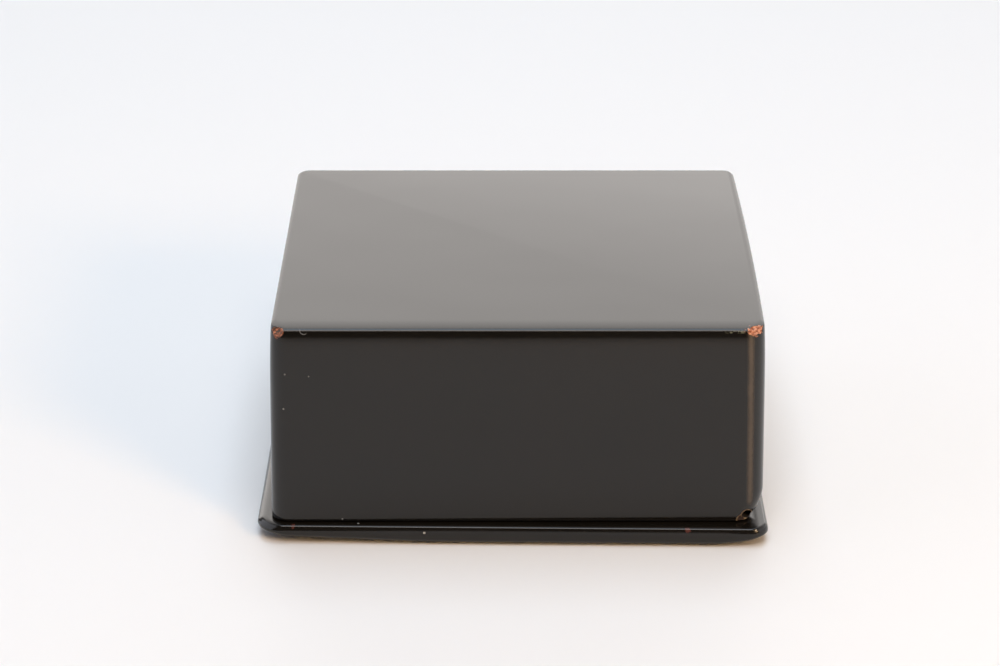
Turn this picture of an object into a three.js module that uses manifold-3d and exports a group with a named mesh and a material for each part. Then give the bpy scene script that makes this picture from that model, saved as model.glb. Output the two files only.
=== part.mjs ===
// A small black lacquered box with a loose lid, standing upside down on the lid:
// the plain underside of the box is on top and its mouth faces down.
// Millimetres, +Z up, X to the right and Y to the back.
// The origin is on the table under the middle of the lid.

import * as THREE from "three";
import { mergeVertices } from "three/addons/utils/BufferGeometryUtils.js";
import Module from "manifold-3d";

// The box. Heights are measured from its mouth up to its underside.
const mouthWidth = 90.25;
const mouthDepth = 82;
const boxHeight = 38.1;
const draft = 0.75;
const wallThickness = 4.2;
const floorThickness = 3.6;
const cornerRadius = { left: 3.2, right: 4 };
const insideCornerRadius = 1.6;
const insideBevel = 1;
const undersideEdge = 0.6;
const mouthEdge = 0.2;
const rightWallSwell = 0.35;

// The lower edge of the right wall is rolled in, with an upright lip left below the roll.
// The right corners get tighter as the wall rolls in, by a share of the roll.
const rollWidth = 4.7;
const rollHeight = 6.2;
const lipHeight = 0.9;
const cornerTightening = 0.5;

// The lid: a thin plate, wider than the box, whose outer face lies on the table.
// That face is flat in the middle and lifts a little towards the rim. It lifts more at the corners:
// each level's corners are rounder than those of the level above, and the corners curl up.
// The front and back rims are squarer, and the left and right rims are round like a nose.
const lidThickness = 3.8;
const lidOverhang = { left: 2.65, right: 0.8, frontLeft: 1.4, frontRight: 2.8, back: 2.4 };
const lidTopEdge = 0.6;
const lidRound = { width: 1.9, height: 1.2 };
const lidPillow = { width: 9, height: 0.2 };
const noseWidth = { left: 1.9, right: 0.9 };
const rimCorner = { left: 4.8, right: 3.4 };
const roundCorner = { left: 7.5, right: 7 };
const faceCorner = { left: 14, right: 12 };
const leftCurl = { height: 1.1, reach: 30 };
const rightCurl = { height: 1, reach: 9 };

// A low ledge on the lid stands inside the mouth and keeps the lid in place
const ledge = { width: 3, height: 1.6, cornerRadius: 1.5 };
const fitGap = 0.3;

// Damage: two chipped corners, and a small round hole with a broken rim at the seam
const chips = [
  { side: -1, radii: [2.1, 1.9, 2.4], bite: 0.5 },
  { side: 1, radii: [4.2, 2.2, 1.9], bite: 0.7 },
];
const chipDirection = { sideways: 1, forward: 1.2, up: 0.9 };
const hole = { radius: 0.9, depth: 6, fromRight: 3.2, aboveMouth: 1.5 };
const holeBreak = { radii: [1.4, 0.7, 1.1], fromRight: 4.1, aboveMouth: 0.35 };
const pebbleRoughness = 0.06;

// Facets
const cornerSteps = 7;
const sideSteps = 8;
const roundSteps = 5;
const noseSteps = 5;
const pillowSteps = 3;
const rollStep = 0.75;
const holeSides = 20;

// The lid is centred on the origin, and the box stands a little to one side on it
const lidWidth = mouthWidth + lidOverhang.left + lidOverhang.right;
const lidDepth = mouthDepth + lidOverhang.frontRight + lidOverhang.back;
const boxX = (lidOverhang.left - lidOverhang.right) / 2;
const boxY = (lidOverhang.frontRight - lidOverhang.back) / 2;
const undersideZ = lidThickness + boxHeight;

const quarterTurn = Math.PI / 2;
const mix = (from, to, t) => from + (to - from) * t;
const fourAlike = (value) => [value, value, value, value];

// One level of a form: the points of a four-sided outline with round corners at height z,
// counter-clockwise from the front left corner. The right side may swell outward.
function outline(z, sides, radii, rightSwell) {
  const corners = [
    { x: sides.left, y: sides.frontLeft, radius: radii[0] },
    { x: sides.right, y: sides.frontRight, radius: radii[1] },
    { x: sides.right, y: sides.back, radius: radii[2] },
    { x: sides.left, y: sides.back, radius: radii[3] },
  ];
  const arcs = corners.map((corner, index) => cornerArc(corner, index));
  const points = [];
  arcs.forEach((arc, index) => {
    const swell = index === 1 ? rightSwell : 0;
    points.push(...arc, ...sidePoints(arc.at(-1), arcs[(index + 1) % 4][0], swell));
  });
  return points.map(([x, y]) => [x, y, z]);
}

function cornerArc(corner, index) {
  const inwardX = index === 0 || index === 3 ? 1 : -1;
  const inwardY = index < 2 ? 1 : -1;
  const points = [];
  for (let step = 0; step <= cornerSteps; step += 1) {
    const angle = Math.PI + (index + step / cornerSteps) * quarterTurn;
    points.push([
      corner.x + corner.radius * (inwardX + Math.cos(angle)),
      corner.y + corner.radius * (inwardY + Math.sin(angle)),
    ]);
  }
  return points;
}

// The points along a side lie closer together towards its ends
function sidePoints(from, to, swell) {
  const points = [];
  for (let step = 1; step < sideSteps; step += 1) {
    const t = (1 - Math.cos((step / sideSteps) * Math.PI)) / 2;
    points.push([mix(from[0], to[0], t) + 4 * swell * t * (1 - t), mix(from[1], to[1], t)]);
  }
  return points;
}

// A closed skin through levels given from the lowest to the highest
function loft(levels) {
  const count = levels[0].length;
  const positions = levels.flat(2);
  const indices = [];
  for (let level = 0; level + 1 < levels.length; level += 1) {
    for (let point = 0; point < count; point += 1) {
      const a = level * count + point;
      const b = level * count + ((point + 1) % count);
      indices.push(a, b, b + count, a, b + count, a + count);
    }
  }
  const last = (levels.length - 1) * count;
  const bottomCentre = addCentre(positions, levels[0]);
  const topCentre = addCentre(positions, levels.at(-1));
  for (let point = 0; point < count; point += 1) {
    const following = (point + 1) % count;
    indices.push(bottomCentre, following, point);
    indices.push(topCentre, last + point, last + following);
  }
  const geometry = new THREE.BufferGeometry();
  geometry.setAttribute("position", new THREE.Float32BufferAttribute(positions, 3));
  geometry.setIndex(indices);
  return toSolid(geometry);
}

// Adds the middle of a level to the positions and returns its index
function addCentre(positions, level) {
  const sum = level.reduce((total, point) => total.map((value, axis) => value + point[axis]), [0, 0, 0]);
  positions.push(...sum.map((value) => value / level.length));
  return positions.length / 3 - 1;
}

const wasm = await Module();
wasm.setup();

function toSolid(geometry) {
  const bare = geometry.clone();
  bare.deleteAttribute("normal");
  bare.deleteAttribute("uv");
  const merged = mergeVertices(bare, 1e-5);
  return new wasm.Manifold(new wasm.Mesh({
    numProp: 3,
    vertProperties: new Float32Array(merged.attributes.position.array),
    triVerts: new Uint32Array(merged.index.array),
  }));
}

function toMesh(solid, name, material) {
  const mesh = solid.getMesh();
  const geometry = new THREE.BufferGeometry();
  geometry.setAttribute("position", new THREE.BufferAttribute(new Float32Array(mesh.vertProperties), 3));
  geometry.setIndex(new THREE.BufferAttribute(new Uint32Array(mesh.triVerts), 1));
  geometry.computeVertexNormals();
  const result = new THREE.Mesh(geometry, material);
  result.name = name;
  return result;
}

// The walls' sides at a height above the mouth, inset all round by a given amount
function wallSides(height, inset) {
  const lean = (draft * height) / boxHeight + inset;
  const front = boxY - mouthDepth / 2 + lean;
  return {
    left: boxX - mouthWidth / 2 + lean,
    right: boxX + mouthWidth / 2 - lean,
    frontLeft: front,
    frontRight: front,
    back: boxY + mouthDepth / 2 - lean,
  };
}

// How far the right wall has rolled in at a height above the mouth
function rollInset(height) {
  const rolled = Math.max(height, lipHeight);
  if (rolled >= rollHeight) {
    return 0;
  }
  const reach = (rollHeight - rolled) / rollHeight;
  return rollWidth * (1 - Math.sqrt(1 - reach * reach));
}

function outsideLevel(height, inset) {
  const sides = wallSides(height, inset);
  sides.right -= rollInset(height);
  const left = cornerRadius.left - inset / 2;
  const right = cornerRadius.right - inset / 2 - rollInset(height) * cornerTightening;
  return outline(lidThickness + height, sides, [left, right, right, left], rightWallSwell);
}

function boxOutside() {
  const levels = [outsideLevel(fitGap, mouthEdge), outsideLevel(fitGap + mouthEdge, 0)];
  for (let height = lipHeight; height < rollHeight; height += rollStep) {
    levels.push(outsideLevel(height, 0));
  }
  levels.push(outsideLevel(rollHeight, 0));
  levels.push(outsideLevel(boxHeight / 2, 0));
  for (let step = 0; step <= roundSteps; step += 1) {
    const angle = (step / roundSteps) * quarterTurn;
    const height = boxHeight - undersideEdge * (1 - Math.sin(angle));
    levels.push(outsideLevel(height, undersideEdge * (1 - Math.cos(angle))));
  }
  return loft(levels);
}

// The hollow runs from below the mouth up to the floor, which meets the walls in a small bevel
function boxHollow() {
  const belowMouth = -1;
  const ceiling = boxHeight - floorThickness;
  const level = (height, inset) => {
    const sides = wallSides(height, wallThickness + inset);
    return outline(lidThickness + height, sides, fourAlike(insideCornerRadius), rightWallSwell);
  };
  return loft([level(belowMouth, 0), level(ceiling - insideBevel, 0), level(ceiling, insideBevel)]);
}

// A rough pebble, whose overlap with the box is a piece that has broken away
function pebble(radii, centre) {
  const geometry = new THREE.IcosahedronGeometry(1, 2);
  const position = geometry.attributes.position;
  for (let i = 0; i < position.count; i += 1) {
    const [x, y, z] = [position.getX(i), position.getY(i), position.getZ(i)];
    const swell = 1 + pebbleRoughness * Math.sin(5 * x + 3 * z) * Math.cos(4 * y + z);
    position.setXYZ(i, x * radii[0] * swell, y * radii[1] * swell, z * radii[2] * swell);
  }
  geometry.translate(...centre);
  return toSolid(geometry);
}

// A chip on a front corner of the underside: the pebble lies outside the corner and bites into it
function cornerChip({ side, radii, bite }) {
  const { sideways, forward, up } = chipDirection;
  const outward = new THREE.Vector3(side * sideways, -forward, up).normalize();
  const cutIn = (side < 0 ? cornerRadius.left : cornerRadius.right) * (1 - Math.SQRT1_2);
  const corner = new THREE.Vector3(
    boxX + side * (mouthWidth / 2 - draft - cutIn),
    boxY - mouthDepth / 2 + draft + cutIn,
    undersideZ,
  );
  const reach = outward.clone().multiply(new THREE.Vector3(...radii)).length() - bite;
  return pebble(radii, corner.addScaledVector(outward, reach).toArray());
}

// The blind hole runs from the front into the right wall
function sideHole() {
  const geometry = new THREE.CylinderGeometry(hole.radius, hole.radius, hole.depth * 2, holeSides);
  geometry.translate(
    boxX + mouthWidth / 2 - hole.fromRight,
    boxY - mouthDepth / 2,
    lidThickness + hole.aboveMouth,
  );
  return toSolid(geometry);
}

function brokenRim() {
  return pebble(holeBreak.radii, [
    boxX + mouthWidth / 2 - holeBreak.fromRight,
    boxY - mouthDepth / 2,
    lidThickness + holeBreak.aboveMouth,
  ]);
}

function makeBody() {
  const broken = [...chips.map(cornerChip), sideHole(), brokenRim()];
  return broken.reduce((solid, piece) => solid.subtract(piece), boxOutside().subtract(boxHollow()));
}

// How far the rim curls up at a place on the lid
function cornerCurl(x, y) {
  const { height, reach } = x < 0 ? leftCurl : rightCurl;
  const fromCorner = Math.hypot(Math.abs(x) - lidWidth / 2, Math.abs(y) - lidDepth / 2);
  return height * Math.max(0, 1 - fromCorner / reach);
}

// The share of their width by which the round left and right rims draw in at a height
function noseShare(z) {
  const half = (lidThickness - lidPillow.height) / 2;
  const away = Math.min(Math.abs(z - lidPillow.height - half) / half, 1);
  return 1 - Math.sqrt(1 - away * away);
}

// One level of the lid, raised by its share of the curl. Its left and right sides are drawn in
// by a share of the nose, and by pastNose more.
function lidLevel(z, inset, corner, curlShare = 0, share = noseShare(z), pastNose = 0) {
  const front = -lidDepth / 2 + inset;
  const sides = {
    left: -lidWidth / 2 + noseWidth.left * share + pastNose,
    right: lidWidth / 2 - noseWidth.right * share - pastNose,
    frontLeft: front + lidOverhang.frontRight - lidOverhang.frontLeft,
    frontRight: front,
    back: lidDepth / 2 - inset,
  };
  const level = outline(z, sides, [corner.left, corner.right, corner.right, corner.left], 0);
  return level.map(([x, y]) => [x, y, z + curlShare * cornerCurl(x, y)]);
}

function mixCorner(from, to, t) {
  return { left: mix(from.left, to.left, t), right: mix(from.right, to.right, t) };
}

// The plate, from the middle of its outer face, up round the rim, to its flat inner face
function lidPlate() {
  const levels = [];
  for (let step = 0; step < pillowSteps; step += 1) {
    const t = step / pillowSteps;
    const reach = lidPillow.width * (1 - t);
    const corner = mixCorner(faceCorner, roundCorner, t);
    levels.push(lidLevel(lidPillow.height * t * t, lidRound.width + reach, corner, t, 1, reach));
  }
  for (let step = 0; step <= roundSteps; step += 1) {
    const t = step / roundSteps;
    const inset = lidRound.width * (1 - Math.sin(t * quarterTurn));
    const z = lidPillow.height + lidRound.height * (1 - Math.cos(t * quarterTurn));
    levels.push(lidLevel(z, inset, mixCorner(roundCorner, rimCorner, t), 1));
  }
  const squareTop = lidThickness - lidTopEdge;
  levels.push(lidLevel((lidPillow.height + lidRound.height + squareTop) / 2, 0, rimCorner, 0.5));
  for (let step = 0; step <= noseSteps; step += 1) {
    const angle = (step / noseSteps) * quarterTurn;
    const z = squareTop + lidTopEdge * Math.sin(angle);
    levels.push(lidLevel(z, lidTopEdge * (1 - Math.cos(angle)), rimCorner));
  }
  return loft(levels);
}

function lidLedge() {
  const top = lidThickness + ledge.height;
  const ring = (lowZ, highZ, inset, radius) => {
    const sides = wallSides(0, wallThickness + fitGap + inset);
    const level = (z) => outline(z, sides, fourAlike(radius), 0);
    return loft([level(lowZ), level(highZ)]);
  };
  const outer = ring(lidThickness / 2, top, 0, ledge.cornerRadius);
  const inner = ring(lidThickness, top + 1, ledge.width, ledge.cornerRadius / 2);
  return outer.subtract(inner);
}

function makeLid() {
  return lidPlate().add(lidLedge());
}

function lacquer() {
  return new THREE.MeshStandardMaterial({ color: 0x14120f, roughness: 0.2, metalness: 0 });
}

const lacquerBox = new THREE.Group();
lacquerBox.add(toMesh(makeBody(), "body", lacquer()));
lacquerBox.add(toMesh(makeLid(), "lid", lacquer()));

export default lacquerBox;
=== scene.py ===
# %% [markdown]
# # A black lacquer box, upside down on its lid
#
# The real thing is a small wooden box under many thin coats of black lacquer. It stands with its plain
# underside up, and its mouth rests on a thin lid that is a little wider than the box. Two corners are
# chipped down to the orange ground, and a small hole has broken open near the seam on the right.
#
# This lesson loads the measured solids first, then builds a finer skin for each of the two pieces,
# because black lacquer is a mirror: every edge shows as a line of light, and a coarse edge shows too.

import math

import bmesh
import bpy
import numpy as np
from mathutils import Matrix, Vector, noise


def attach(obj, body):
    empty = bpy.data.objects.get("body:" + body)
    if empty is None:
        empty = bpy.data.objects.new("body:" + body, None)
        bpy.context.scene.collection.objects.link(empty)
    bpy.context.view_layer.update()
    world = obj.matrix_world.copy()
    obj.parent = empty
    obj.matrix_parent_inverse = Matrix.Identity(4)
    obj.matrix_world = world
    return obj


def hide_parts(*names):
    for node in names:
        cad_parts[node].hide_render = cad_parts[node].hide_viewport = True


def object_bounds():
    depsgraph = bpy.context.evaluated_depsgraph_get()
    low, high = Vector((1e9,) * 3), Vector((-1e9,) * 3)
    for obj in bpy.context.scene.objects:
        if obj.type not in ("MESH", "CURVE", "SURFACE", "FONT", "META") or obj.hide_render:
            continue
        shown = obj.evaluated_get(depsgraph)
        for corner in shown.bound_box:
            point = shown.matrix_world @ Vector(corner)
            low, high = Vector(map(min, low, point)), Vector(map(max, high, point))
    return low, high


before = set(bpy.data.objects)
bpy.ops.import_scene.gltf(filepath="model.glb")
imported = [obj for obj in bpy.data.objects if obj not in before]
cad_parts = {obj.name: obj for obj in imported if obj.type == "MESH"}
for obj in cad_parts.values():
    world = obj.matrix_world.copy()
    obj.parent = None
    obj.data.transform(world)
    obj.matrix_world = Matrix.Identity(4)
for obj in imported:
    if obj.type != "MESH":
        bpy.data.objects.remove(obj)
cad_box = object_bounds()
MM = 0.001
lowest, highest = ([round(value / MM, 2) for value in corner] for corner in cad_box)
print(len(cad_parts), "solids fill, in millimetres:", lowest, "to", highest)

# %% [markdown]
# ## Sizes
#
# The same sizes as the solids have, in millimetres. Heights on the box are measured from its mouth up to
# its underside. The walls lean in by the draft over that height. The right wall bows out a little, and
# its lower edge is rolled in above a thin lip.

# %% Sizes of the box
mouth_width, mouth_depth, box_height = 90.25, 82, 38.1
draft = 0.75
wall_thickness, floor_thickness = 4.2, 3.6
left_corner, right_corner, inside_corner = 3.2, 4.0, 1.6
right_wall_swell = 0.35
roll_width, roll_height, lip_height = 4.7, 6.2, 0.9
fit_gap, mouth_edge = 0.3, 0.2
print(f"Box {mouth_width} x {mouth_depth} x {box_height} mm, walls {wall_thickness} mm thick")

# %% Sizes of the lid
lid_thickness = 3.8
overhang_left, overhang_right, overhang_back = 2.65, 0.8, 2.4
overhang_front_left, overhang_front_right = 1.4, 2.8
lid_width = mouth_width + overhang_left + overhang_right
lid_depth = mouth_depth + overhang_front_right + overhang_back
box_x = (overhang_left - overhang_right) / 2
box_y = (overhang_front_right - overhang_back) / 2
front_of_box = box_y - mouth_depth / 2
front_of_lid = -lid_depth / 2
underside = lid_thickness + box_height
print(f"Lid {lid_width:.1f} x {lid_depth:.1f} mm, underside of the box at {underside:.1f} mm")

# %% [markdown]
# ## Writing node trees as sums
#
# Shaders and Geometry Nodes trees are mostly arithmetic, and arithmetic is easiest to read as
# arithmetic. A `Wire` is one socket. Adding or multiplying wires places the Math nodes for it, and any
# other node comes from `Wire.node`, which takes the node's type, its settings and its sockets.

# %% The Wire class
class Wire:
    """A socket of a node tree, on which arithmetic adds Math nodes."""

    def __init__(self, socket):
        self.socket = socket

    @classmethod
    def node(cls, tree, kind, settings=None, sockets=None, output=0):
        made = tree.nodes.new(kind)
        for name, value in (settings or {}).items():
            if name == "stops":
                set_stops(made.color_ramp, value)
            else:
                setattr(made, name, value)
        for name, value in (sockets or {}).items():
            if isinstance(value, Wire):
                tree.links.new(value.socket, made.inputs[name])
            else:
                made.inputs[name].default_value = value
        return cls(made.outputs[output]) if made.outputs else None

    def maths(self, operation, first, *others):
        values = dict(enumerate((first, *others)))
        return Wire.node(self.socket.id_data, "ShaderNodeMath", {"operation": operation}, values)

    def __add__(self, other):
        return self.maths("ADD", self, other)

    __radd__ = __add__

    def __sub__(self, other):
        return self.maths("SUBTRACT", self, other)

    def __rsub__(self, other):
        return self.maths("SUBTRACT", other, self)

    def __mul__(self, other):
        return self.maths("MULTIPLY", self, other)

    __rmul__ = __mul__

    def __truediv__(self, other):
        return self.maths("DIVIDE", self, other)


def set_stops(ramp, stops):
    """Gives a colour ramp its stops, as (place, colour) pairs from left to right."""
    while len(ramp.elements) < len(stops):
        ramp.elements.new(1)
    for element, (place, colour) in zip(ramp.elements, stops):
        element.position = place
        element.color = (*colour, 1)


# %% Sums that have no sign of their own
def lesser(a, b):
    return a.maths("MINIMUM", a, b)


def greater(a, b):
    return a.maths("MAXIMUM", a, b)


def is_less(a, b):
    return a.maths("LESS_THAN", a, b)


def whole(a):
    return a.maths("FLOOR", a)


def absolute(a):
    return a.maths("ABSOLUTE", a)


def length(*parts):
    """The length of a vector from its parts."""
    total = sum(part * part for part in parts)
    return total.maths("SQRT", total)


def choose(mask, no, yes):
    """yes where the mask is 1 and no where it is 0."""
    return no + mask * (yes - no)


# %% [markdown]
# ## One tree for both skins
#
# Box and lid follow the same rule: a stack of levels, each a rectangle with round corners at its own
# height, joined into one closed skin. That is a job for Geometry Nodes. A cylinder has the right number
# of rings already, so the tree only has to move each point. It reads its level's four sides from the
# base mesh, where every level is one loose point with named numbers, and swings an arm of the corner's
# radius round the corner's centre. Between two corners the arm keeps its direction and the centre slides
# along. The steps along a side are finer near the corners, where the chips need small faces.

# %% A level, and the mesh that carries the levels
LEVEL_NUMBERS = ("left", "right", "front_left", "front_right", "back",
                 "left_radius", "right_radius", "swell", "curl", "height")


def level(height, sides, left_radius, right_radius=None, swell=0.0, curl=0.0):
    """One level in millimetres; sides is (left, right, front left, front right, back).

    The curl is the share of the tree's curl, from 0 to 1, by which the level lifts at its corners.
    """
    right_radius = left_radius if right_radius is None else right_radius
    return (*sides, left_radius, right_radius, swell, curl / MM, height)


def carry_levels(name, levels):
    """A mesh with one loose point for each level, and the level's numbers as attributes in metres."""
    mesh = bpy.data.meshes.new(name)
    mesh.from_pydata([(0, 0, values[-1] * MM) for values in levels], [], [])
    for number, column in zip(LEVEL_NUMBERS, zip(*levels)):
        attribute = mesh.attributes.new(number, "FLOAT", "POINT")
        attribute.data.foreach_set("value", [value * MM for value in column])
    return mesh


# %% Starting and ending a tree, and reading a level in it
def new_tree(name, inputs):
    """An empty Geometry Nodes tree with named inputs, given as name: (socket type, default)."""
    tree = bpy.data.node_groups.new(name, "GeometryNodeTree")
    tree.interface.new_socket("Geometry", in_out="INPUT", socket_type="NodeSocketGeometry")
    for label, (kind, default) in inputs.items():
        socket = tree.interface.new_socket(label, in_out="INPUT", socket_type=kind)
        if default is not None:
            socket.default_value = default
    tree.interface.new_socket("Geometry", in_out="OUTPUT", socket_type="NodeSocketGeometry")
    entry = tree.nodes.new("NodeGroupInput")
    return tree, {socket.name: Wire(socket) for socket in entry.outputs if socket.name}


def end_tree(tree, geometry, material):
    """Ends a tree in Realize Instances and Set Material."""
    real = Wire.node(tree, "GeometryNodeRealizeInstances", sockets={"Geometry": geometry})
    finish = {"Geometry": real, "Material": material}
    painted = Wire.node(tree, "GeometryNodeSetMaterial", sockets=finish)
    Wire.node(tree, "NodeGroupOutput", sockets={0: painted})


def sample_level(tree, levels, number, ring):
    """The named number of the level that a ring belongs to."""
    value = Wire.node(tree, "GeometryNodeInputNamedAttribute", {"data_type": "FLOAT"}, {"Name": number})
    sockets = {"Geometry": levels, "Value": value, "Index": ring}
    return Wire.node(tree, "GeometryNodeSampleIndex", {"data_type": "FLOAT", "clamp": True}, sockets)


def corner_point(here, corner, arm_x, arm_y):
    """Where the arm ends when it stands at a corner.

    The corners are 0 front left, 1 front right, 2 back right and 3 back left.
    """
    on_right = is_less(absolute(corner - 1.5), 1.0)
    in_front = is_less(corner, 1.5)
    radius = choose(on_right, here["left_radius"], here["right_radius"])
    front = choose(on_right, here["front_left"], here["front_right"])
    centre_x = choose(on_right, here["left"] + radius, here["right"] - radius)
    centre_y = choose(in_front, here["back"] - radius, front + radius)
    return centre_x + radius * arm_x, centre_y + radius * arm_y


# %% The tree that wraps a skin round the levels
def wrap_tree():
    tree, given = new_tree("wrap_levels", {
        "Corner Steps": ("NodeSocketInt", 12),
        "Side Steps": ("NodeSocketInt", 60),
        "Fine Steps": ("NodeSocketInt", 24),
        "Fine Share": ("NodeSocketFloat", 0.05),
        "Half Width": ("NodeSocketFloat", 0.045),
        "Half Depth": ("NodeSocketFloat", 0.04),
        "Left Curl": ("NodeSocketFloat", 0.0),
        "Left Reach": ("NodeSocketFloat", 0.04),
        "Right Curl": ("NodeSocketFloat", 0.0),
        "Right Reach": ("NodeSocketFloat", 0.01),
        "Material": ("NodeSocketMaterial", None),
    })
    steps, sides = given["Corner Steps"], given["Side Steps"]
    fine, share = given["Fine Steps"], given["Fine Share"]

    # One ring of a cylinder for each level
    size = Wire.node(tree, "GeometryNodeAttributeDomainSize", sockets={"Geometry": given["Geometry"]})
    around = (steps + sides) * 4
    rings = Wire.node(tree, "GeometryNodeMeshCylinder", {"fill_type": "NGON"},
                      {"Vertices": around, "Side Segments": size - 1})

    # Which ring, corner and step a point belongs to
    index = Wire.node(tree, "GeometryNodeInputIndex")
    ring = whole((index + 0.5) / around)
    place = index - ring * around
    corner = whole((place + 0.5) / (steps + sides))
    step = place - corner * (steps + sides)
    here = {number: sample_level(tree, given["Geometry"], number, ring) for number in LEVEL_NUMBERS}

    # How far the arm has turned, and how far it has slid along its side
    turn = (corner + lesser(step / steps, 1.0)) * (math.pi / 2) + math.pi
    arm_x, arm_y = turn.maths("COSINE", turn), turn.maths("SINE", turn)
    along = greater(step - steps, 0.0)
    to_end = sides - along
    start_part = lesser(along, fine) / fine
    end_part = 1 - lesser(to_end, fine) / fine
    middle = lesser(greater((along - fine) / (sides - fine * 2), 0.0), 1.0)
    slide = (start_part + end_part) * share + middle * (1 - share * 2)

    # The point in plan, with the right side bowed out by the swell
    from_x, from_y = corner_point(here, corner, arm_x, arm_y)
    following = choose(is_less(corner, 2.5), 0.0, corner + 1)
    to_x, to_y = corner_point(here, following, arm_x, arm_y)
    right_side = is_less(absolute(corner - 1), 0.5)
    x = from_x + slide * (to_x - from_x) + right_side * here["swell"] * slide * (1 - slide) * 4
    y = from_y + slide * (to_y - from_y)

    # Its height, lifted by the curl near the outermost corners
    on_left = is_less(x, 0.0)
    gap = length(absolute(x) - given["Half Width"], absolute(y) - given["Half Depth"])
    reach = choose(on_left, given["Right Reach"], given["Left Reach"])
    most = choose(on_left, given["Right Curl"], given["Left Curl"])
    z = here["height"] + here["curl"] * most * greater(1 - gap / reach, 0.0)

    point = Wire.node(tree, "ShaderNodeCombineXYZ", sockets={0: x, 1: y, 2: z})
    skin = Wire.node(tree, "GeometryNodeSetPosition", sockets={"Geometry": rings, "Position": point})
    smooth = Wire.node(tree, "GeometryNodeSetShadeSmooth", sockets={"Geometry": skin})
    end_tree(tree, smooth, given["Material"])
    return tree


wrap_levels = wrap_tree()
print("wrap_levels has", len(wrap_levels.nodes), "nodes")

# %% Running a tree and keeping its result as a plain mesh
def link(name, mesh):
    thing = bpy.data.objects.new(name, mesh)
    bpy.context.scene.collection.objects.link(thing)
    return thing


def plain_copy(name, thing):
    """The object with its modifiers worked out, as a plain mesh under a new name."""
    evaluated = thing.evaluated_get(bpy.context.evaluated_depsgraph_get())
    mesh = bpy.data.meshes.new_from_object(evaluated)
    bpy.data.objects.remove(thing)
    mesh.name = name
    return link(name, mesh)


def run_tree(name, base, tree, settings):
    carrier = link(name + "_carrier", base)
    modifier = carrier.modifiers.new("nodes", "NODES")
    modifier.node_group = tree
    items = [item for item in tree.interface.items_tree if item.in_out == "INPUT"]
    labels = {item.name: item.identifier for item in items}
    for label, value in settings.items():
        modifier[labels[label]] = value
    made = plain_copy(name, carrier)
    print(f"{name}: {len(made.data.vertices)} points, {len(made.data.polygons)} faces")
    return made


# %% [markdown]
# ## The lacquer
#
# Black lacquer is a clear gloss over black pigment, so nearly all of its colour is reflection. The base
# colour is almost black, the gloss is even, and two very low bumps break up the reflections: slow waves
# that the wooden walls leave under the coats, and fine level brush marks. Everything that time has laid
# on the lacquer or rubbed off it follows as a list of layers, each with a mask, a colour and a
# roughness. On the box two of these layers also carry painted light: a painted highlight in the right
# chip and painted shade deep in the hole. All the patterns stand on Object coordinates, so they stay put
# from every side.

# %% Helpers for materials
def new_material(name):
    material = bpy.data.materials.new(name)
    material.use_nodes = True
    material.node_tree.nodes.clear()
    return material, material.node_tree


def noise_wire(tree, where, scale, detail=2.0):
    sockets = {"Vector": where, "Scale": scale, "Detail": detail}
    return Wire.node(tree, "ShaderNodeTexNoise", sockets=sockets)


def stretched(tree, where, scales):
    """Object coordinates multiplied by a factor on each axis, for noise that is longer one way."""
    return Wire.node(tree, "ShaderNodeMapping", sockets={"Vector": where, "Scale": scales})


def fade(wire, low, high):
    """Rises smoothly from 0 at low to 1 at high; it falls instead if low is above high."""
    ends = {1: min(low, high), 2: max(low, high), 3: float(low > high), 4: float(low < high)}
    settings = {"interpolation_type": "SMOOTHSTEP"}
    return Wire.node(wire.socket.id_data, "ShaderNodeMapRange", settings, {"Value": wire, **ends})


def fray(wire, ragged, amount):
    """Adds a ragged noise or takes it away, so that a mask made from the wire gets an uneven edge."""
    return wire + (ragged - 0.5) * amount


def blend(tree, mask, no, yes):
    """A colour between two colours, which are wires or (red, green, blue)."""
    no, yes = (value if isinstance(value, Wire) else (*value, 1) for value in (no, yes))
    return Wire.node(tree, "ShaderNodeMix", {"data_type": "RGBA"}, {0: mask, 6: no, 7: yes}, output=2)


def coloured(tree, amount, stops):
    return Wire.node(tree, "ShaderNodeValToRGB", {"stops": stops}, {0: amount})


# %% Colours and roughness of the finish
BLACK_LACQUER = (0.0052, 0.0044, 0.0032)
BROWN_BLACK = (0.0080, 0.0062, 0.0045)
RUBBED_TAN = (0.16, 0.115, 0.075)
RUBBED_RED = (0.17, 0.05, 0.035)
RUBBED_EDGE = (0.12, 0.12, 0.08)
PALE_DUST = (0.42, 0.42, 0.40)
# The peach stop stands partly for pinkish spots in the ground and partly for a painted highlight
GROUND_AND_GLINT_STOPS = ((0.36, (0.045, 0.025, 0.012)), (0.50, (0.27, 0.072, 0.022)), (0.68, (0.62, 0.27, 0.15)))
WOOD_STOPS = ((0.40, (0.035, 0.016, 0.010)), (0.54, (0.13, 0.09, 0.05)), (0.70, (0.34, 0.26, 0.16)))
# Near black painted deep in the hole: painted shade, not a colour of the wood
HOLE_PAINTED_SHADE = (0.006, 0.004, 0.003)
GLOSSY, GLOSS_CHANGE = 0.15, 0.05
RUBBED_RED_ROUGH, RUBBED_ROUGH, GROUND_ROUGH, DUST_ROUGH, WOOD_ROUGH = 0.3, 0.35, 0.5, 0.6, 0.8

# %% How fine the patterns in the lacquer are, as noise scales for coordinates in metres
CLOUDS, WAVES, RAGGED, GRAIN = 60, 45, 1800, 2500
BRUSH_MARKS = (30, 30, 700)
BRUSH_DEPTH = 0.03
RELIEF_HEIGHT = 0.08 * MM
LACQUER_IOR = 1.47


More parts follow.
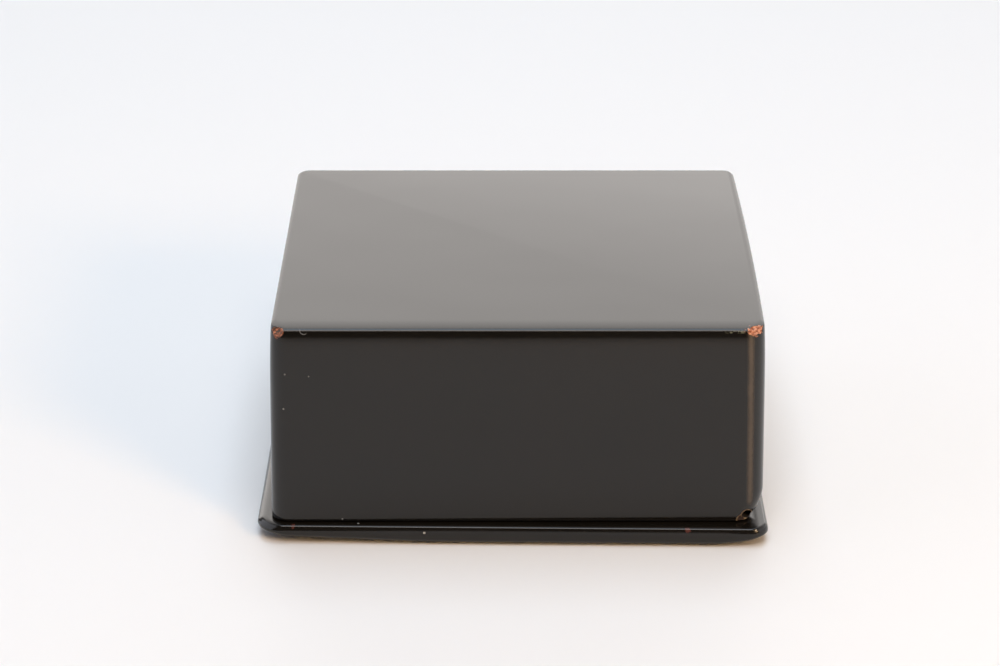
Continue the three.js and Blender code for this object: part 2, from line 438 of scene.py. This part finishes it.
# %% The lacquer itself
def lacquer(name, make_layers, seed):
    """Black lacquer under the layers that wear gives as a list of (mask, colour, roughness).

    The function is called with the tree, the Object coordinates, the same as x, y and z, and a ragged
    noise. On the box two of its layers also carry painted light: a painted highlight in the right chip
    and painted shade deep in the hole.
    """
    material, tree = new_material(name)
    where = Wire.node(tree, "ShaderNodeTexCoord", output=3)
    parts = Wire.node(tree, "ShaderNodeSeparateXYZ", sockets={0: where})
    apart = [Wire(socket) for socket in parts.socket.node.outputs]
    shifted = Wire.node(tree, "ShaderNodeMapping", sockets={"Vector": where, "Location": (seed, 0, 0)})
    cloudy = noise_wire(tree, shifted, CLOUDS)
    colour = blend(tree, cloudy, BLACK_LACQUER, BROWN_BLACK)
    gloss = GLOSSY + cloudy * GLOSS_CHANGE
    brushed = noise_wire(tree, stretched(tree, shifted, BRUSH_MARKS), 1)
    relief = noise_wire(tree, shifted, WAVES, detail=1) + brushed * BRUSH_DEPTH
    grain = noise_wire(tree, shifted, GRAIN, detail=3)
    ragged = noise_wire(tree, shifted, RAGGED, detail=3)
    for mask, worn_colour, roughness in make_layers(tree, where, apart, ragged):
        colour = blend(tree, mask, colour, worn_colour)
        gloss = choose(mask, gloss, roughness)
        relief = relief + mask * grain * roughness
    bump = Wire.node(tree, "ShaderNodeBump", sockets={
        "Height": relief, "Strength": 1.0, "Distance": RELIEF_HEIGHT,
    })
    surface = Wire.node(tree, "ShaderNodeBsdfPrincipled", sockets={
        "Base Color": colour, "Roughness": gloss, "Normal": bump, "IOR": LACQUER_IOR,
    })
    Wire.node(tree, "ShaderNodeOutputMaterial", sockets={"Surface": surface})
    print(f"{name}: {len(tree.nodes)} nodes")
    return material


# %% [markdown]
# ## Dust and small rubs
#
# A few specks of dust lie on the front wall and on the rim of the lid, and the rim has small reddish
# rubs. Each one is a ball round a place on the surface, frayed by the ragged noise, so that no speck
# is a clean disc.

# %% Where the specks and rubs are, as (place, radius, strength) in millimetres
def on_wall(x, height):
    """A place on the front wall, from the middle of the box and from the table."""
    return box_x + x, front_of_box + draft * (height - lid_thickness) / box_height, height


BOX_DUST = [
    (on_wall(-14.4, 40.0), 0.26, 1.0),
    (on_wall(1.3, 38.6), 0.16, 0.6),
    (on_wall(24.3, 38.2), 0.16, 0.6),
    (on_wall(-41.7, 33.4), 0.20, 0.5),
    (on_wall(-42.1, 26.6), 0.20, 0.5),
    (on_wall(-37.4, 33.0), 0.14, 0.5),
    (on_wall(-32.0, 4.5), 0.20, 0.8),
    (on_wall(-42.0, 38.6), 0.30, 0.4),
]
LID_DUST = [
    ((box_x - 29.1, front_of_box - 0.3, lid_thickness), 0.20, 0.8),
    ((box_x - 17.0, front_of_lid + 1.0, 2.6), 0.22, 0.8),
]
LID_RUBS = [
    ((box_x + 9.5, front_of_lid + 1.2, 1.4), 0.50, 0.5),
    ((box_x - 41.0, front_of_lid + 1.9, 3.5), 0.50, 0.4),
    ((box_x + 31.0, front_of_lid + 0.5, 3.5), 0.60, 0.5),
]
SPOT_FRAY, SPOT_EDGE = 1.5, (1.1, 0.5)


def spots(tree, where, ragged, places):
    """A mask of small ragged spots."""
    mask = None
    for place, radius, strength in places:
        ends = {0: where, 1: tuple(value * MM for value in place)}
        away = Wire.node(tree, "ShaderNodeVectorMath", {"operation": "DISTANCE"}, ends, output=1)
        away = fray(away / (radius * MM), ragged, SPOT_FRAY)
        spot = fade(away, *SPOT_EDGE) * strength
        mask = spot if mask is None else greater(mask, spot)
    return mask


print(len(BOX_DUST) + len(LID_DUST), "specks of dust and", len(LID_RUBS), "rubs")

# %% [markdown]
# ## The rubbed corner and edge
#
# Hands have rubbed the upright corner at the front right brown in long patches, and next to the right
# chip the front edge of the underside shows a few grey-green spots. Both are lines drawn on the front
# of the box: how far a point is from the line says how much it is rubbed.

# %% The upright corner and the edge beside the chip
FRONT_ENDS = (2.2, 1.4)
corner_line_x, corner_line_lean, corner_line_half = 42.5, 1.0, 0.9
corner_line_rise, corner_line_fray = (2.8, 4.5), 0.4
CORNER_PATCHES = (400, 400, 90)
least_rub, more_rub = 0.25, 0.25
edge_rub_x, edge_rub_ends = 38.7, (2.0, 1.2)
edge_rub_top, edge_rub_bottom = (0.35, 0.5), (0.95, 0.75)


def rubbed_corner(tree, where, ragged, x, height):
    """The corner's line leans to the left on its way up, as the wall does."""
    off_line = absolute(x - (box_x + corner_line_x) + height * (corner_line_lean / box_height))
    line = fade(fray(off_line, ragged, corner_line_fray), corner_line_half, 0.0)
    patchy = noise_wire(tree, stretched(tree, where, CORNER_PATCHES), 1)
    return line * fade(height, *corner_line_rise) * (least_rub + fade(patchy, 0.3, 0.7) * more_rub)


def rubbed_edge(ragged, x, below_top):
    along = fade(absolute(x - (box_x + edge_rub_x)), *edge_rub_ends)
    across = fade(below_top, *edge_rub_top) * fade(below_top, *edge_rub_bottom)
    return along * across * fade(ragged, 0.46, 0.56)


# %% [markdown]
# ## A curl of lint
#
# Near the left end of the upper edge a thin thread of lint lies in an open ring, half on the edge and
# half down the wall. It is drawn on a plane that leans back with the edge, so that it stays round.

# %% The lint ring
lint_x, lint_up, lint_radius = box_x - 38.1, 38.55, 0.75
LINT_PLANE = (0.91, 0.41)
LINT_EDGE = (0.12, 0.04)
lint_opening, lint_strength = (0.65, 0.25), 0.3


def lint_ring(x, y, z):
    up = z * LINT_PLANE[0] + (y - front_of_box) * LINT_PLANE[1]
    from_middle = length(x - lint_x, up - lint_up)
    ring = fade(absolute(from_middle - lint_radius), *LINT_EDGE)
    opening = fade(x, *(lint_x + edge for edge in lint_opening))
    return ring * opening * lint_strength


# %% [markdown]
# ## Bare ground and bare wood
#
# In the two chips the coats are gone and the ground shows, orange and dull. The right chip is painted
# lighter, partly in the ground's own colour and partly as a painted highlight of the warm lamp.
# The chipped skin carries a `bare` number for this, which says how deep the chip is.
#
# At the right end of the seam a round hole goes into the wood, and its rim has broken away down to the
# mouth. The wood there is told by place: near the hole's axis, or inside the ball that the break is cut
# with. It gets darker with depth, because little light reaches it.

# %% Where the hole and its broken rim are, in millimetres
hole_radius, hole_depth = 0.9, 6.0
hole_middle = Vector((box_x + 41.9, front_of_box, lid_thickness + 1.5))
break_middle = hole_middle + Vector((-0.55, 0, -1.0))
break_radii = (1.2, 0.6, 1.1)
print("The hole's middle is at", [round(value, 2) for value in hole_middle])

# %% The ground in the chips
GROUND_FINENESS = 2000
BARE_FRAY, BARE_EDGE = 0.9, (0.45, 0.6)
# The right chip's ground is made lighter: partly its own colour, partly a painted highlight of the lamp
left_shade, right_lighter_and_painted_glint = -0.06, 0.14


def bare_ground_and_glint(tree, where, ragged, x):
    """The mask of the chips and the ground's colour, lighter in the right chip partly as a painted
    highlight.
    """
    depth = Wire.node(tree, "ShaderNodeAttribute", {"attribute_name": "bare"}, output=2)
    shade = noise_wire(tree, where, GROUND_FINENESS) + fade(x, -10.0, 10.0) * right_lighter_and_painted_glint + left_shade
    return fade(fray(depth, ragged, BARE_FRAY), *BARE_EDGE), coloured(tree, shade, GROUND_AND_GLINT_STOPS)


# %% The wood in the hole, painted near black deep inside as painted shade
WOOD_FINENESS = 1500
WOOD_FRAY, WOOD_EDGE = 0.8, (0.3, 0.5)
HOLE_EDGE, HOLE_END, BREAK_EDGE = (0.28, 0.12), (0.5, 0.0), (1.25, 1.1)
straight_ends_x, corner_bend = 40.3, 0.156
# Depths in millimetres over which the wood is painted darker, as painted shade
PAINTED_SHADE_DEPTHS = (0.35, 0.75)


def bare_wood_and_painted_shade(tree, where, ragged, x, y, z):
    """The mask of the hole with its broken rim, and the wood's colour, painted darker deeper in as
    painted shade.
    """
    from_axis = length(x - hole_middle.x, z - hole_middle.z)
    in_hole = fade(from_axis, *(hole_radius + edge for edge in HOLE_EDGE))
    in_hole = in_hole * fade(y, *(front_of_box + hole_depth + edge for edge in HOLE_END))
    axes = zip((x, y, z), break_middle, break_radii)
    in_break = fade(length(*((axis - middle) / radius for axis, middle, radius in axes)), *BREAK_EDGE)
    mask = fade(fray(greater(in_hole, in_break), ragged, WOOD_FRAY), *WOOD_EDGE)

    # The front curves away behind the round corner, so the depth is measured from the curve
    past_straight = greater(x - (box_x + straight_ends_x), 0.0)
    depth = y - front_of_box - past_straight * past_straight * corner_bend
    wood = coloured(tree, noise_wire(tree, where, WOOD_FINENESS, detail=3), WOOD_STOPS)
    # The wood fades to near black with depth: painted shade, since little light reaches it
    return mask, blend(tree, fade(depth, *PAINTED_SHADE_DEPTHS), wood, HOLE_PAINTED_SHADE)


# %% All layers of the box and of the lid
# Dust, rubs, chips and the hole, with a painted highlight in the right chip and painted shade in the
# hole
def box_wear_and_painted_light(tree, where, apart, ragged):
    x, y, z = (axis / MM for axis in apart)
    height = z - lid_thickness
    in_front = fade(y, *(front_of_box + end for end in FRONT_ENDS))
    corner = rubbed_corner(tree, where, ragged, x, height) * in_front
    edge = rubbed_edge(ragged, x, box_height - height) * in_front
    return [
        (spots(tree, where, ragged, BOX_DUST), PALE_DUST, DUST_ROUGH),
        (lint_ring(x, y, z) * in_front, PALE_DUST, DUST_ROUGH),
        (corner, RUBBED_TAN, RUBBED_ROUGH),
        (edge, RUBBED_EDGE, RUBBED_ROUGH),
        (*bare_ground_and_glint(tree, where, ragged, x), GROUND_ROUGH),
        (*bare_wood_and_painted_shade(tree, where, ragged, x, y, z), WOOD_ROUGH),
    ]


def lid_wear(tree, where, apart, ragged):
    return [
        (spots(tree, where, ragged, LID_DUST), PALE_DUST, DUST_ROUGH),
        (spots(tree, where, ragged, LID_RUBS), RUBBED_RED, RUBBED_RED_ROUGH),
    ]


box_lacquer = lacquer("box_lacquer", box_wear_and_painted_light, 0.0)
lid_lacquer = lacquer("lid_lacquer", lid_wear, 0.3)

# %% [markdown]
# ## The box
#
# The section through the wall is followed from the middle of the underside, over the edge, down the
# outside, round the lip of the mouth, and up the inside to the ceiling of the hollow. The edge is drawn
# by its slope: the wall starts to lean in a few millimetres below the edge, turns quickly at the edge
# itself, and flattens slowly on top. Worn and polished edges turn like this, and it is what makes the
# dark band and the thin bright line along the edge in the reflection. The front edge is the soft one,
# and the other three are crisper.

# %% A soft edge, as (inset, drop below the flat) pairs
def soft_edge(parts):
    """From a flat to an upright wall; each part is (length, slope at its start, at its end, steps)."""
    inset = drop = 0.0
    points = [(inset, drop)]
    for run, start, end, count in parts:
        for step in range(count):
            slope = math.radians(start + (end - start) * (step + 0.5) / count)
            inset += run / count * math.cos(slope)
            drop += run / count * math.sin(slope)
            points.append((inset, drop))
    return points, inset, drop


edge_points, edge_inset, edge_drop = soft_edge([
    (3.2, 0, 7, 12),
    (0.72, 7, 70, 12),
    (1.2, 70, 80, 8),
    (1.9, 80, 84, 6),
    (3, 84, 87, 6),
    (4, 87, 90, 4),
])
print(f"The edge is {edge_inset:.2f} mm wide and {edge_drop:.2f} mm high in {len(edge_points)} levels")

# %% The walls and their levels
crisp_share = 0.22
mouth_softness, mouth_lean = 1.6, 0.12
left_tightening, right_tightening, roll_tightening = 0.4, 0.7, 0.5


def wall_sides(height, inset=0.0, share=1.0):
    """The walls' sides at a height above the mouth, leaning in by the draft and by an inset.

    The front takes the whole inset, and the other three sides the given share of it.
    """
    lean = draft * height / box_height
    front = front_of_box + lean + inset
    lean += inset * share
    left, right = box_x - mouth_width / 2 + lean, box_x + mouth_width / 2 - lean
    return [left, right, front, front, box_y + mouth_depth / 2 - lean]


def rolled_in(height):
    """How far the right wall has rolled in at a height above the mouth."""
    low = max(height, lip_height)
    if low >= roll_height:
        return 0
    reach = (roll_height - low) / roll_height
    return roll_width * (1 - math.sqrt(1 - reach * reach))


def outside_level(height, inset=0.0):
    """A level of the outside, which leans in a little just above the mouth."""
    near_mouth = max(1 - height / mouth_softness, 0)
    share = crisp_share if inset else 1.0
    sides = wall_sides(height, inset + mouth_lean * near_mouth ** 2, share)
    sides[1] -= rolled_in(height)
    left_radius = left_corner - inset * left_tightening
    right_radius = right_corner - inset * right_tightening - rolled_in(height) * roll_tightening
    return level(lid_thickness + height, sides, left_radius, right_radius, swell=right_wall_swell)


def inside_level(height, inset):
    sides = wall_sides(height, wall_thickness + inset)
    return level(lid_thickness + height, sides, inside_corner, swell=right_wall_swell)


# %% The whole section of the box
wall_steps, roll_levels = 12, 20
ceiling_round = 1.0


def box_levels():
    levels = [outside_level(box_height - drop, edge_inset - inset) for inset, drop in edge_points]
    wall_top, lip_edge = box_height - edge_drop, fit_gap + mouth_edge
    levels += [outside_level(wall_top + (roll_height - wall_top) * step / wall_steps)
               for step in range(1, wall_steps)]
    levels += [outside_level(height) for height in np.linspace(roll_height, lip_height, roll_levels)]
    levels += [outside_level(height) for height in ((lip_height + lip_edge) / 2, lip_edge)]
    for angle in np.radians([30, 60, 90]):
        inset, drop = mouth_edge * (1 - math.cos(angle)), mouth_edge * math.sin(angle)
        levels.append(outside_level(lip_edge - drop, inset))

    levels += [inside_level(fit_gap, -mouth_edge), inside_level(lip_edge, 0)]
    ceiling = box_height - floor_thickness
    levels += [inside_level(ceiling / 2, 0), inside_level(ceiling - 1.2 * ceiling_round, 0)]
    for angle in np.radians([0, 22, 45, 68, 90]):
        rise, inset = ceiling_round * math.sin(angle), ceiling_round * (1 - math.cos(angle))
        levels.append(inside_level(ceiling - ceiling_round + rise, inset))
    return levels


body = run_tree("box_shell", carry_levels("box_levels", box_levels()), wrap_levels, {
    "Corner Steps": 18, "Side Steps": 70, "Fine Steps": 26, "Fine Share": 0.055,
    "Material": box_lacquer,
})

# %% [markdown]
# ## The lid
#
# The lid's section starts on its inner face, goes over the low ledge that stands in the mouth of the
# box, out to the rim and round under it. The rim's upper edge is soft in front, and its left and right
# ends are round noses. The outer face lies on the table and lifts a little towards the rim. At the
# corners the thin board has curled up a little more. The curl fades towards the top of the rim, where
# the soft edge needs its height.

# %% Sizes of the lid's rim, in millimetres
lid_round_width, lid_round_height = 1.9, 1.2
lid_pillow_width, lid_pillow_height = 9, 0.2
left_nose, right_nose = 1.9, 0.9
rim_corner, round_corner, face_corner = (4.8, 3.4), (7.5, 7.0), (14, 12)
rim_tightening, least_radius = 1.2, 0.8
ledge_width, ledge_height, ledge_corner, ledge_edge = 3, 1.6, 1.5, 0.2
least_ledge_radius = 0.5
left_curl, left_curl_reach = 1.1, 30
right_curl, right_curl_reach = 1.0, 9
curl_top = 3.3
lowest_side = lid_pillow_height + lid_round_height
rim_points, rim_inset, _ = soft_edge([
    (0.9, 0, 12, 5),
    (0.4, 12, 70, 9),
    (0.9, 70, 81, 6),
    (0.9, 81, 90, 4),
])
print(f"The rim's upper edge is {rim_inset:.2f} mm wide in {len(rim_points)} levels")


# %% The lid's shape at a height
def nose(height):
    """The share of their width by which the round left and right ends draw in at a height."""
    half = (lid_thickness - lid_pillow_height) / 2
    away = min(abs(height - lid_pillow_height - half) / half, 1)
    return 1 - math.sqrt(1 - away * away)


def curl_share(height):
    """The curl is full at the round lower edge and gone near the top, so no level passes another."""
    return min(max((curl_top - height) / (curl_top - lowest_side), 0), 1)


def rim_round(inset):
    """The corners of the rim's upper edge get tighter with the inset, and the edge keeps its width."""
    return [max(radius - rim_tightening * inset, least_radius) for radius in rim_corner]


def between(start, end, share):
    return [a + (b - a) * share for a, b in zip(start, end)]


# %% Levels of the lid
def ledge_level(height, inset):
    sides = wall_sides(0, wall_thickness + fit_gap + inset)
    return level(height, sides, max(ledge_corner - inset / 3, least_ledge_radius))


def lid_level(height, inset, corners, curl=0.0, past_nose=None):
    """A level of the lid; its left and right sides follow the nose, or lie past it by an amount."""
    share, more = (nose(height), 0) if past_nose is None else (1, past_nose)
    left = -lid_width / 2 + left_nose * share + more
    right = lid_width / 2 - right_nose * share - more
    front_right = front_of_lid + inset
    front_left = front_right + overhang_front_right - overhang_front_left
    sides = (left, right, front_left, front_right, lid_depth / 2 - inset)
    return level(height, sides, *corners, curl=curl)


def inner_face_levels():
    """Over the ledge, and out on the flat to where the rim's soft edge begins."""
    top, crest = lid_thickness, lid_thickness + ledge_height
    levels = [ledge_level(top, ledge_width), ledge_level(crest - ledge_edge, ledge_width)]
    levels += [ledge_level(crest, ledge_width - ledge_edge), ledge_level(crest, ledge_edge)]
    levels += [ledge_level(crest - ledge_edge, 0), ledge_level(top, 0)]
    for past in (1.3, 0.7, 0.2):
        inset = left_nose + past
        levels.append(lid_level(top, inset, rim_round(inset), past_nose=past))
    return levels


def rim_levels():
    """Down the rim, from its soft upper edge to the lowest upright part."""
    levels = []
    for start, drop in rim_points:
        inset, height = rim_inset - start, lid_thickness - drop
        levels.append(lid_level(height, inset, rim_round(inset), curl_share(height)))
    return levels + [lid_level(lowest_side, 0, rim_corner, 1)]


def outer_face_levels():
    """Round under the rim, and in to the flat that lies on the table."""
    levels = []
    for angle in np.radians(np.linspace(80, 0, 9)):
        height = lid_pillow_height + lid_round_height * (1 - math.cos(angle))
        corners = between(round_corner, rim_corner, angle / (math.pi / 2))
        levels.append(lid_level(height, lid_round_width * (1 - math.sin(angle)), corners, 1))
    for share in np.linspace(1, 0, 13)[1:]:
        reach = lid_pillow_width * (1 - share)
        corners = between(face_corner, round_corner, share)
        height = lid_pillow_height * share * share
        levels.append(lid_level(height, lid_round_width + reach, corners, share, reach))
    return levels


lid_section = inner_face_levels() + rim_levels() + outer_face_levels()
lid = run_tree("lid_plate", carry_levels("lid_levels", lid_section), wrap_levels, {
    "Corner Steps": 18, "Side Steps": 48, "Fine Steps": 14, "Fine Share": 0.06,
    "Half Width": lid_width / 2 * MM, "Half Depth": lid_depth / 2 * MM,
    "Left Curl": left_curl * MM, "Left Reach": left_curl_reach * MM,
    "Right Curl": right_curl * MM, "Right Reach": right_curl_reach * MM,
    "Material": lid_lacquer,
})

# %% [markdown]
# ## Chips
#
# A chip is where a knock has taken the lacquer off a corner. A rough pebble that overlaps the corner
# from outside says what is gone: each point of the skin inside the pebble is pushed in to its surface,
# and the depth is kept as the `bare` number that the material reads. A narrow rim round the pebble is
# half bare, because lacquer flakes a little beyond the bite.

# %% Chipping the front corners of the underside
chip_rim, chip_rim_bare, bare_per_mm = 0.28, 0.55, 3
chip_reach = 6
DENTS = ((0.14, 1.1), (0.09, 2.9))


def dented(place):
    """A factor near 1 that makes the pebble rough; each dent is (size, how many to a millimetre)."""
    return 1 + sum(size * noise.noise(place * fineness) for size, fineness in DENTS)


def chip_corner(thing, bare, outward, radii, bite):
    """Pushes the corner that lies furthest outward in to the surface of a pebble.

    radii are the pebble's half axes and bite is how deep it goes, in millimetres.
    """
    outward = Vector(outward).normalized()
    corner = max((vertex.co / MM for vertex in thing.data.vertices), key=outward.dot)
    centre = corner + outward * (Vector(a * b for a, b in zip(outward, radii)).length - bite)
    moved = 0
    for vertex in thing.data.vertices:
        place = vertex.co / MM
        if (place - corner).length > chip_reach:
            continue
        rough = dented(place)
        away = Vector((place[i] - centre[i]) / (radii[i] * rough) for i in range(3))
        if away.length >= 1:
            rim_bare = chip_rim_bare * (1 - (away.length - 1) / chip_rim)
            bare[vertex.index] = max(bare[vertex.index], rim_bare)
            continue
        pull = Vector(outward[i] / (radii[i] * rough) for i in range(3))
        across = away.dot(pull)
        root = math.sqrt(across ** 2 + pull.length_squared * (1 - away.length_squared))
        depth = (across + root) / pull.length_squared
        vertex.co -= outward * depth * MM
        bare[vertex.index] = min(chip_rim_bare + depth * bare_per_mm, 1)
        moved += 1
    return moved


bare = np.zeros(len(body.data.vertices), np.float32)
left_moved = chip_corner(body, bare, (-0.55, -0.75, 0.5), (2.1, 1.9, 2.4), bite=0.55)
right_moved = chip_corner(body, bare, (1.0, -0.9, 0.47), (5.0, 2.7, 2.4), bite=1.1)
body.data.attributes.new("bare", "FLOAT", "POINT").data.foreach_set("value", bare)
print("Points pushed in at the left and right chip:", left_moved, right_moved)

# %% [markdown]
# ## The hole at the seam
#
# A small round hole goes in at the right end of the seam, and a piece of its rim has broken away down
# to the mouth. Both are cut out of the skin with closed shapes whose points are moved a little, because
# old wood breaks unevenly.

# %% Shapes to cut with
hole_sides = 28
hole_roughness, break_roughness = 0.10, 0.25
cut_fineness = 1.3

# The same uneven shapes on every run
noise.seed_set(1)


def rough_cutter(name, build, roughness):
    """A closed shape made by build, with its points moved a little by noise."""
    shape = bmesh.new()
    build(shape)
    for vertex in shape.verts:
        vertex.co += noise.noise_vector(vertex.co / MM * cut_fineness) * roughness * MM
    mesh = bpy.data.meshes.new(name)
    shape.to_mesh(mesh)
    shape.free()
    mesh.materials.append(box_lacquer)
    return link(name, mesh)


def hole_shape(shape):
    radius, depth = hole_radius * MM, 2 * hole_depth * MM
    turn = Matrix.Translation(hole_middle * MM) @ Matrix.Rotation(math.pi / 2, 4, "X")
    bmesh.ops.create_cone(shape, cap_ends=True, segments=hole_sides, radius1=radius,
                          radius2=radius, depth=depth, matrix=turn)


def break_shape(shape):
    size = Matrix.Diagonal([radius * MM for radius in break_radii] + [1])
    place = Matrix.Translation(break_middle * MM)
    bmesh.ops.create_icosphere(shape, subdivisions=3, radius=1, matrix=place @ size)


# %% Cutting them out of the box
sharp_angle = math.radians(38)


def carve(thing, cutters):
    for cutter in cutters:
        modifier = thing.modifiers.new("carve", "BOOLEAN")
        modifier.operation = "DIFFERENCE"
        modifier.solver = "EXACT"
        modifier.object = cutter
    carved = plain_copy("box_skin", thing)
    for cutter in cutters:
        bpy.data.objects.remove(cutter)
    return carved


body = carve(body, [
    rough_cutter("hole", hole_shape, hole_roughness),
    rough_cutter("break", break_shape, break_roughness),
])
body.data.set_sharp_from_angle(angle=sharp_angle)
print("box_skin:", len(body.data.vertices), "points")

# %% [markdown]
# ## Where each piece belongs
#
# Each skin stands for one measured solid and moves with the same body.

# %% Names and places
body.name = "box"
lid.name = "lid_skin"
for thing, node, finish in ((body, "body", "box_lacquer"), (lid, "lid", "lid_lacquer")):
    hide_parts(node)
    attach(thing, "root")
    print(thing.name, "stands for", node)

# %% [markdown]
# ## The table
#
# The box was photographed on a plain and nearly white table without a visible edge, so one large flat
# face is enough. It lies a hair below the lid, so that the two never share a plane.

# %% The table
table_half, table_drop = 4.0, 0.02 * MM
TABLE_WHITE = (0.86, 0.855, 0.85, 1)


def table_top():
    material, tree = new_material("white_table")
    surface = Wire.node(tree, "ShaderNodeBsdfPrincipled", sockets={
        "Base Color": TABLE_WHITE, "Roughness": 0.6, "Specular IOR Level": 0.2,
    })
    Wire.node(tree, "ShaderNodeOutputMaterial", sockets={"Surface": surface})
    mesh = bpy.data.meshes.new("table")
    corners = [(-1, -1), (1, -1), (1, 1), (-1, 1)]
    mesh.from_pydata([(x * table_half, y * table_half, -table_drop) for x, y in corners],
                     [], [(0, 1, 2, 3)])
    mesh.materials.append(material)
    return link("table", mesh)


table = table_top()
print("The table is", 2 * table_half, "m wide")

# %% [markdown]
# ## Light
#
# A mirror-like black thing is lit by what it reflects. A pale wall behind makes the top grey, a broad
# cool light overhead and the upper wall draw the thin line along each upper edge, the table in front
# fills the front wall, and the dark room beyond the camera makes the black bands between. One small
# warm lamp at the front right gives the soft bluish shadow on the left and the spark on the lid's rim.
#
# What lights the table and what shows in the lacquer are set apart: the second list holds lights that
# only shiny surfaces see, so that the reflections can be bright while the table keeps its soft shades.

# %% The lights, as (name, place, aim, width and height, colour, radiance) in metres
ROOM_LIGHTS = [
    ("back_wall", (0.1, 1.6, 0.65), (0.1, 0, 0.65), (2.4, 1.3), (1.0, 0.955, 0.92), 1.0),
    ("left_wall", (-1.2, 0.1, 0.65), (0, 0.1, 0.65), (2.2, 1.3), (0.86, 0.88, 1.0), 0.6),
    ("right_wall", (1.2, 0.2, 0.45), (0, 0.2, 0.45), (2.0, 0.9), (1.0, 0.98, 1.0), 0.58),
    ("overhead", (0, 0.1, 1.25), (0, 0.1, 0), (0.7, 1.4), (0.70, 0.85, 1.0), 3.8),
    ("front_top", (0, -0.75, 1.05), (0, 0, 0), (0.8, 0.35), (1.0, 0.88, 0.80), 6.8),
    ("warm_lamp", (0.643, -0.740, 0.499), (0, 0, 0.02), (0.26, 0.26), (1.0, 0.62, 0.28), 24.0),
]
SEEN_IN_LACQUER = [
    ("back_shine", (0.1, 1.59, 0.65), (0.1, 0, 0.65), (2.4, 1.3), (1.0, 0.955, 0.92), 1.22),
    ("back_top", (0.1, 1.59, 1.95), (0.1, 0, 1.95), (3.2, 1.3), (1.0, 0.955, 0.94), 1.4),
    ("left_shine", (-1.19, 0.1, 1.1), (0, 0.1, 1.1), (2.2, 2.2), (0.90, 0.92, 1.0), 1.0),
    ("right_shine", (1.19, 0.2, 1.0), (0, 0.2, 1.0), (2.0, 2.0), (1.0, 0.98, 1.0), 0.5),
    ("lamp_middle", (0.637, -0.733, 0.494), (0, 0, 0.02), (0.09, 0.09), (1.0, 0.9, 0.78), 120.0),
]


def soft_light(name, place, aim, size, colour, radiance):
    """A rectangular light whose face glows with the given radiance."""
    width, height = size
    lamp = bpy.data.lights.new(name, "AREA")
    lamp.shape = "RECTANGLE"
    lamp.size, lamp.size_y = width, height
    lamp.color = colour
    lamp.energy = math.pi * width * height * radiance
    thing = link(name, lamp)
    thing.location = place
    thing.rotation_mode = "QUATERNION"
    thing.rotation_quaternion = (Vector(aim) - Vector(place)).to_track_quat("-Z", "Y")
    thing.visible_camera = False
    return thing


for light in ROOM_LIGHTS:
    soft_light(*light)
for light in SEEN_IN_LACQUER:
    soft_light(*light).visible_diffuse = False
print(len(ROOM_LIGHTS), "lights for all, and", len(SEEN_IN_LACQUER), "that only show in the lacquer")

# %% The room around, dim for the light and pale for the eye
room_glow, seen_glow = 0.04, 0.9
ROOM_COLOUR = (0.95, 0.97, 1, 1)
world = bpy.data.worlds.new("dim_room")
bpy.context.scene.world = world
world.use_nodes = True
room = world.node_tree
room.nodes.clear()
glow = choose(Wire.node(room, "ShaderNodeLightPath"), room_glow, seen_glow)
background = Wire.node(room, "ShaderNodeBackground", sockets={"Color": ROOM_COLOUR, "Strength": glow})
Wire.node(room, "ShaderNodeOutputWorld", sockets={"Surface": background})

# %% [markdown]
# ## The camera
#
# It looks straight at the front and a little down, through a long lens from about half a metre, so the
# sides of the box draw together only a little towards the back.

# %% The camera
sensor_width, picture_width, focal_pixels = 36, 1000, 2816.2
eye_aside, eye_before_front, eye_height = -3.18, 455.43, 246.738
eye_tilt = 0.4228
camera_data = bpy.data.cameras.new("camera")
camera_data.sensor_width = sensor_width
camera_data.lens = focal_pixels * sensor_width / picture_width
camera = link("camera", camera_data)
camera.location = Vector((box_x + eye_aside, front_of_box - eye_before_front, eye_height)) * MM
camera.rotation_euler = (math.pi / 2 - eye_tilt, 0, 0)
bpy.context.scene.camera = camera
bpy.context.scene.view_settings.view_transform = "Standard"
print(f"Lens {camera_data.lens:.0f} mm, looking down by {math.degrees(eye_tilt):.1f} degrees")
